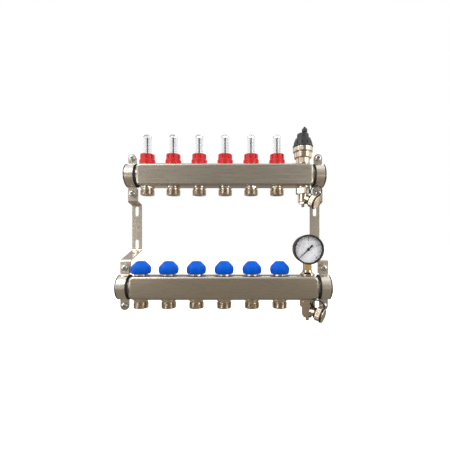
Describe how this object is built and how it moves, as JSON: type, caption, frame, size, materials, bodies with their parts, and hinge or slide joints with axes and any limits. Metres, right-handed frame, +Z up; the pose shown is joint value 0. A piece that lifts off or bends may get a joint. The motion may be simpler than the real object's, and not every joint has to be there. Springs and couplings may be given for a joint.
{
  "type": "underfloor heating manifold",
  "caption": "Wall-mounted manifold of two steel bars: supply bar with clear flow meters and an air vent, return bar with domed hand valves and a pressure gauge, capped drain on each.",
  "frame": {"origin": "on the wall plane at the middle port, midway between the two bars", "axes": "+X along the bars towards the gauge, +Y into the wall, +Z up"},
  "size_m": [0.382, 0.0885, 0.3638],
  "materials": {
    "bar_steel": "brushed stainless sheet, soft highlights",
    "strip_steel": "bright rolled strip",
    "fastener_steel": "zinc plated screws and nuts",
    "nickel_brass": "warm nickel plating on turned brass",
    "raw_brass": "turned brass",
    "pin_steel": "ground steel",
    "spring_wire": "dark spring wire",
    "red_plastic": "moulded, slightly glossy",
    "blue_plastic": "moulded, satin",
    "black_plastic": "moulded, matt",
    "float_black": "moulded",
    "float_plastic": "moulded",
    "clear_tube": "clear moulded tube with a printed scale",
    "clear_window": "clear flat window",
    "liner_rubber": "black rubber",
    "seal_rubber": "black rubber",
    "strap_rubber": "black flexible strap",
    "gauge_black": "black enamel",
    "dial_white": "white dial with plain black marks",
    "pointer_black": "black"
  },
  "bodies": {
    "root": {"supply_bar": "bar_steel", "return_bar": "bar_steel", "wall_brackets": "strip_steel", "clamp_halves": "strip_steel", "clamp_liners": "liner_rubber", "clamp_bolts": "fastener_steel", "clamp_nuts": "fastener_steel", "outlet_nipples": "nickel_brass", "o_rings": "seal_rubber", "flow_meter_bodies": "raw_brass", "sight_glasses": "clear_tube", "float_springs": "spring_wire", "valve_inserts": "nickel_brass", "valve_glands": "raw_brass", "valve_springs": "spring_wire", "vent_body": "nickel_brass", "vent_cover": "black_plastic", "gauge_adapter": "nickel_brass", "gauge_socket": "raw_brass", "gauge_case": "gauge_black", "gauge_bezel": "gauge_black", "gauge_lens": "clear_window", "gauge_dial": "dial_white", "bourdon_tube": "raw_brass", "gauge_movement": "raw_brass", "drain_bodies": "nickel_brass", "drain_straps": "strap_rubber"},
    "flow_dial_1": {"flow_dial_1": "red_plastic"},
    "flow_float_1": {"flow_float_1": "float_black"},
    "flow_dial_2": {"flow_dial_2": "red_plastic"},
    "flow_float_2": {"flow_float_2": "float_black"},
    "flow_dial_3": {"flow_dial_3": "red_plastic"},
    "flow_float_3": {"flow_float_3": "float_black"},
    "flow_dial_4": {"flow_dial_4": "red_plastic"},
    "flow_float_4": {"flow_float_4": "float_black"},
    "flow_dial_5": {"flow_dial_5": "red_plastic"},
    "flow_float_5": {"flow_float_5": "float_black"},
    "flow_dial_6": {"flow_dial_6": "red_plastic"},
    "flow_float_6": {"flow_float_6": "float_black"},
    "valve_pin_1": {"valve_pin_1": "pin_steel"},
    "return_cap_1": {"return_cap_1": "blue_plastic"},
    "valve_pin_2": {"valve_pin_2": "pin_steel"},
    "return_cap_2": {"return_cap_2": "blue_plastic"},
    "valve_pin_3": {"valve_pin_3": "pin_steel"},
    "return_cap_3": {"return_cap_3": "blue_plastic"},
    "valve_pin_4": {"valve_pin_4": "pin_steel"},
    "return_cap_4": {"return_cap_4": "blue_plastic"},
    "valve_pin_5": {"valve_pin_5": "pin_steel"},
    "return_cap_5": {"return_cap_5": "blue_plastic"},
    "valve_pin_6": {"valve_pin_6": "pin_steel"},
    "return_cap_6": {"return_cap_6": "blue_plastic"},
    "vent_float": {"vent_float": "float_plastic"},
    "vent_lever": {"vent_lever": "float_plastic"},
    "vent_cap": {"vent_cap": "black_plastic"},
    "gauge_pointer": {"gauge_pointer": "pointer_black"},
    "gauge_sector": {"gauge_sector": "raw_brass"},
    "drain_spindle_supply": {"drain_spindle_supply": "nickel_brass"},
    "drain_cap_supply": {"drain_cap_supply": "nickel_brass"},
    "drain_spindle_return": {"drain_spindle_return": "nickel_brass"},
    "drain_cap_return": {"drain_cap_return": "nickel_brass"}
  },
  "joints": [
    {"name": "flow_dial_1_turn", "type": "hinge", "parent": "root", "child": "flow_dial_1", "pos_m": [-0.15, -0.025, 0.135], "axis": [0, 0, 1], "range_deg": [-900, 0]},
    {"name": "flow_float_1_slide", "type": "slide", "parent": "root", "child": "flow_float_1", "axis": [0, 0, 1], "range_m": [-0.02, 0], "deforming": ["float_springs"]},
    {"name": "flow_dial_2_turn", "type": "hinge", "parent": "root", "child": "flow_dial_2", "pos_m": [-0.1, -0.025, 0.135], "axis": [0, 0, 1], "range_deg": [-900, 0]},
    {"name": "flow_float_2_slide", "type": "slide", "parent": "root", "child": "flow_float_2", "axis": [0, 0, 1], "range_m": [-0.02, 0], "deforming": ["float_springs"]},
    {"name": "flow_dial_3_turn", "type": "hinge", "parent": "root", "child": "flow_dial_3", "pos_m": [-0.05, -0.025, 0.135], "axis": [0, 0, 1], "range_deg": [-900, 0]},
    {"name": "flow_float_3_slide", "type": "slide", "parent": "root", "child": "flow_float_3", "axis": [0, 0, 1], "range_m": [-0.02, 0], "deforming": ["float_springs"]},
    {"name": "flow_dial_4_turn", "type": "hinge", "parent": "root", "child": "flow_dial_4", "pos_m": [0, -0.025, 0.135], "axis": [0, 0, 1], "range_deg": [-900, 0]},
    {"name": "flow_float_4_slide", "type": "slide", "parent": "root", "child": "flow_float_4", "axis": [0, 0, 1], "range_m": [-0.02, 0], "deforming": ["float_springs"]},
    {"name": "flow_dial_5_turn", "type": "hinge", "parent": "root", "child": "flow_dial_5", "pos_m": [0.05, -0.025, 0.135], "axis": [0, 0, 1], "range_deg": [-900, 0]},
    {"name": "flow_float_5_slide", "type": "slide", "parent": "root", "child": "flow_float_5", "axis": [0, 0, 1], "range_m": [-0.02, 0], "deforming": ["float_springs"]},
    {"name": "flow_dial_6_turn", "type": "hinge", "parent": "root", "child": "flow_dial_6", "pos_m": [0.1, -0.025, 0.135], "axis": [0, 0, 1], "range_deg": [-900, 0]},
    {"name": "flow_float_6_slide", "type": "slide", "parent": "root", "child": "flow_float_6", "axis": [0, 0, 1], "range_m": [-0.02, 0], "deforming": ["float_springs"]},
    {"name": "valve_pin_1_slide", "type": "slide", "parent": "root", "child": "valve_pin_1", "axis": [0, 0, 1], "range_m": [-0.00275, 0], "deforming": ["valve_springs"]},
    {"name": "return_cap_1_turn", "type": "hinge", "parent": "valve_pin_1", "child": "return_cap_1", "pos_m": [-0.15, -0.06, -0.073], "axis": [0, 0, 1], "range_deg": [-648, 0]},
    {"name": "valve_pin_2_slide", "type": "slide", "parent": "root", "child": "valve_pin_2", "axis": [0, 0, 1], "range_m": [-0.00275, 0], "deforming": ["valve_springs"]},
    {"name": "return_cap_2_turn", "type": "hinge", "parent": "valve_pin_2", "child": "return_cap_2", "pos_m": [-0.1, -0.06, -0.073], "axis": [0, 0, 1], "range_deg": [-648, 0]},
    {"name": "valve_pin_3_slide", "type": "slide", "parent": "root", "child": "valve_pin_3", "axis": [0, 0, 1], "range_m": [-0.00275, 0], "deforming": ["valve_springs"]},
    {"name": "return_cap_3_turn", "type": "hinge", "parent": "valve_pin_3", "child": "return_cap_3", "pos_m": [-0.05, -0.06, -0.073], "axis": [0, 0, 1], "range_deg": [-648, 0]},
    {"name": "valve_pin_4_slide", "type": "slide", "parent": "root", "child": "valve_pin_4", "axis": [0, 0, 1], "range_m": [-0.00275, 0], "deforming": ["valve_springs"]},
    {"name": "return_cap_4_turn", "type": "hinge", "parent": "valve_pin_4", "child": "return_cap_4", "pos_m": [0, -0.06, -0.073], "axis": [0, 0, 1], "range_deg": [-648, 0]},
    {"name": "valve_pin_5_slide", "type": "slide", "parent": "root", "child": "valve_pin_5", "axis": [0, 0, 1], "range_m": [-0.00275, 0], "deforming": ["valve_springs"]},
    {"name": "return_cap_5_turn", "type": "hinge", "parent": "valve_pin_5", "child": "return_cap_5", "pos_m": [0.05, -0.06, -0.073], "axis": [0, 0, 1], "range_deg": [-648, 0]},
    {"name": "valve_pin_6_slide", "type": "slide", "parent": "root", "child": "valve_pin_6", "axis": [0, 0, 1], "range_m": [-0.00275, 0], "deforming": ["valve_springs"]},
    {"name": "return_cap_6_turn", "type": "hinge", "parent": "valve_pin_6", "child": "return_cap_6", "pos_m": [0.1, -0.06, -0.073], "axis": [0, 0, 1], "range_deg": [-648, 0]},
    {"name": "vent_float_slide", "type": "slide", "parent": "root", "child": "vent_float", "axis": [0, 0, 1], "range_m": [-0.006, 0]},
    {"name": "vent_lever_tilt", "type": "hinge", "parent": "root", "child": "vent_lever", "pos_m": [0.142, -0.025, 0.16775], "axis": [0, 1, 0], "range_deg": [0, 23]},
    {"name": "vent_cap_turn", "type": "hinge", "parent": "root", "child": "vent_cap", "pos_m": [0.1533, -0.025, 0.188], "axis": [0, 0, 1], "range_deg": [0, 720]},
    {"name": "gauge_pointer_turn", "type": "hinge", "parent": "root", "child": "gauge_pointer", "pos_m": [0.15, -0.06, -0.0362], "axis": [0, 1, 0], "range_deg": [0, 270]},
    {"name": "gauge_sector_tilt", "type": "hinge", "parent": "root", "child": "gauge_sector", "pos_m": [0.16247, -0.06, -0.0434], "axis": [0, 1, 0], "range_deg": [-33.75, 0]},
    {"name": "drain_spindle_supply_turn", "type": "hinge", "parent": "root", "child": "drain_spindle_supply", "pos_m": [0.15, -0.025, 0.053], "axis": [0, 0, 1], "range_deg": [0, 720]},
    {"name": "drain_cap_supply_turn", "type": "hinge", "parent": "root", "child": "drain_cap_supply", "pos_m": [0.15, -0.025, 0.063], "axis": [0.7514, -0.5068, -0.4226], "range_deg": [0, 720]},
    {"name": "drain_spindle_return_turn", "type": "hinge", "parent": "root", "child": "drain_spindle_return", "pos_m": [0.15, -0.06, -0.155], "axis": [0, 0, 1], "range_deg": [0, 720]},
    {"name": "drain_cap_return_turn", "type": "hinge", "parent": "root", "child": "drain_cap_return", "pos_m": [0.15, -0.06, -0.145], "axis": [0.8044, -0.5426, -0.2419], "range_deg": [0, 720]}
  ],
  "couplings": [
    {"joint": "valve_pin_1_slide", "follows": "return_cap_1_turn", "m_per_rad": 0.00023873},
    {"joint": "valve_pin_2_slide", "follows": "return_cap_2_turn", "m_per_rad": 0.00023873},
    {"joint": "valve_pin_3_slide", "follows": "return_cap_3_turn", "m_per_rad": 0.00023873},
    {"joint": "valve_pin_4_slide", "follows": "return_cap_4_turn", "m_per_rad": 0.00023873},
    {"joint": "valve_pin_5_slide", "follows": "return_cap_5_turn", "m_per_rad": 0.00023873},
    {"joint": "valve_pin_6_slide", "follows": "return_cap_6_turn", "m_per_rad": 0.00023873},
    {"joint": "vent_lever_tilt", "follows": "vent_float_slide", "rad_per_m": -66.667},
    {"joint": "gauge_sector_tilt", "follows": "gauge_pointer_turn", "ratio": -0.125}
  ]
}
